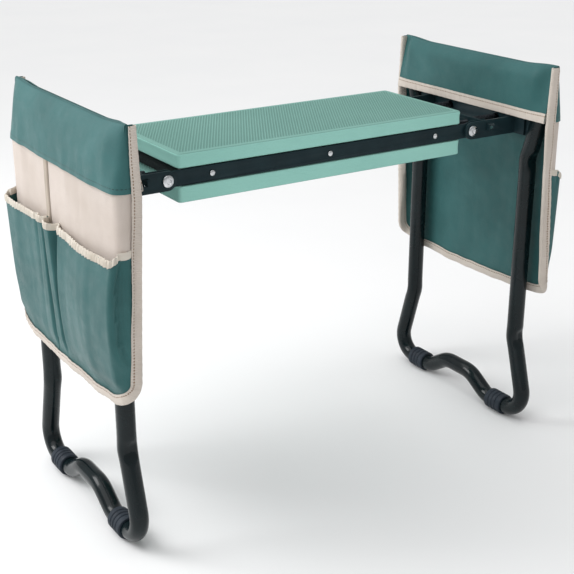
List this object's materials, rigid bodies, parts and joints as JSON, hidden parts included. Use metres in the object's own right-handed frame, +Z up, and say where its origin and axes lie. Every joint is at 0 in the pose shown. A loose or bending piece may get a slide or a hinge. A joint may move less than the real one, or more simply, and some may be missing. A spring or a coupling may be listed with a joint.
{
  "type": "garden kneeler seat",
  "caption": "Folding garden seat that turns over to be a kneeler: foam-padded bench on two tubular end frames, each with spring-locked hinges and a hanging tool pouch.",
  "frame": {"origin": "on the floor, under the middle of the seat, in seat mode", "axes": "+X along the seat towards the right leg, +Y to the back, +Z up"},
  "size_m": [0.647, 0.298, 0.496],
  "materials": {
    "foam": "matt closed-cell foam with a fine pressed diamond grain",
    "board": "dark stained board",
    "dark_steel": "satin dark slate powder coat",
    "tube_paint": "gloss near-black green enamel",
    "black_steel": "black oxide steel",
    "zinc": "bright zinc plate",
    "nylon": "natural nylon",
    "rubber": "blue-black rubber",
    "green_fabric": "coated polyester canvas with a soft sheen",
    "beige_fabric": "woven beige polyester"
  },
  "bodies": {
    "seat": {"seat_pad_upper": "foam", "seat_pad_lower": "foam", "deck_board": "board", "side_rail_front": "dark_steel", "side_rail_back": "dark_steel", "rail_rivet_front_left": "zinc", "rail_rivet_front_middle": "zinc", "rail_rivet_front_right": "zinc", "rail_rivet_back_left": "zinc", "rail_rivet_back_middle": "zinc", "rail_rivet_back_right": "zinc", "pivot_rivet_left_front": "zinc", "pivot_rivet_left_back": "zinc", "pivot_rivet_right_front": "zinc", "pivot_rivet_right_back": "zinc", "pivot_washer_left_front": "nylon", "pivot_washer_left_back": "nylon", "pivot_washer_right_front": "nylon", "pivot_washer_right_back": "nylon"},
    "leg_left": {"leg_tube_left": "tube_paint", "crossbar_left": "dark_steel", "hinge_arm_left_front": "dark_steel", "hinge_arm_left_back": "dark_steel", "guide_bolt_left_front": "black_steel", "guide_bolt_left_back": "black_steel", "guide_nut_left_front": "black_steel", "guide_nut_left_back": "black_steel", "lock_spring_left_front": "black_steel", "lock_spring_left_back": "black_steel", "foot_sleeve_left_front": "rubber", "foot_sleeve_left_back": "rubber"},
    "lock_left": {"lock_bar_left": "dark_steel"},
    "pouch_left": {"pouch_hood_left": "green_fabric", "pouch_panel_left": "beige_fabric", "pouch_binding_left": "beige_fabric", "pouch_pocket_narrow_left": "green_fabric", "pouch_pocket_wide_left": "green_fabric"},
    "leg_right": {"leg_tube_right": "tube_paint", "crossbar_right": "dark_steel", "hinge_arm_right_front": "dark_steel", "hinge_arm_right_back": "dark_steel", "guide_bolt_right_front": "black_steel", "guide_bolt_right_back": "black_steel", "guide_nut_right_front": "black_steel", "guide_nut_right_back": "black_steel", "lock_spring_right_front": "black_steel", "lock_spring_right_back": "black_steel", "foot_sleeve_right_front": "rubber", "foot_sleeve_right_back": "rubber"},
    "lock_right": {"lock_bar_right": "dark_steel"},
    "pouch_right": {"pouch_hood_right": "green_fabric", "pouch_panel_right": "beige_fabric", "pouch_binding_right": "beige_fabric", "pouch_pocket_narrow_right": "green_fabric", "pouch_pocket_wide_right": "green_fabric"}
  },
  "joints": [
    {"name": "fold_left", "type": "hinge", "parent": "seat", "child": "leg_left", "pos_m": [-0.215, 0, 0.412], "axis": [0, -1, 0], "range_deg": [0, 93.5]},
    {"name": "fold_right", "type": "hinge", "parent": "seat", "child": "leg_right", "pos_m": [0.215, 0, 0.412], "axis": [0, 1, 0], "range_deg": [0, 78]},
    {"name": "lock_slide_left", "type": "slide", "parent": "leg_left", "child": "lock_left", "axis": [-1, 0, 0], "range_m": [0, 0.009], "stiffness_N_per_m": 1200, "springref_m": -0.012, "deforming": ["lock_spring_left_front", "lock_spring_left_back"]},
    {"name": "lock_slide_right", "type": "slide", "parent": "leg_right", "child": "lock_right", "axis": [1, 0, 0], "range_m": [0, 0.009], "stiffness_N_per_m": 1200, "springref_m": -0.012, "deforming": ["lock_spring_right_front", "lock_spring_right_back"]},
    {"name": "pouch_lift_left", "type": "slide", "parent": "leg_left", "child": "pouch_left", "axis": [0, 0, 1], "range_m": [0, 0.11]},
    {"name": "pouch_lift_right", "type": "slide", "parent": "leg_right", "child": "pouch_right", "axis": [0, 0, 1], "range_m": [0, 0.11]}
  ]
}
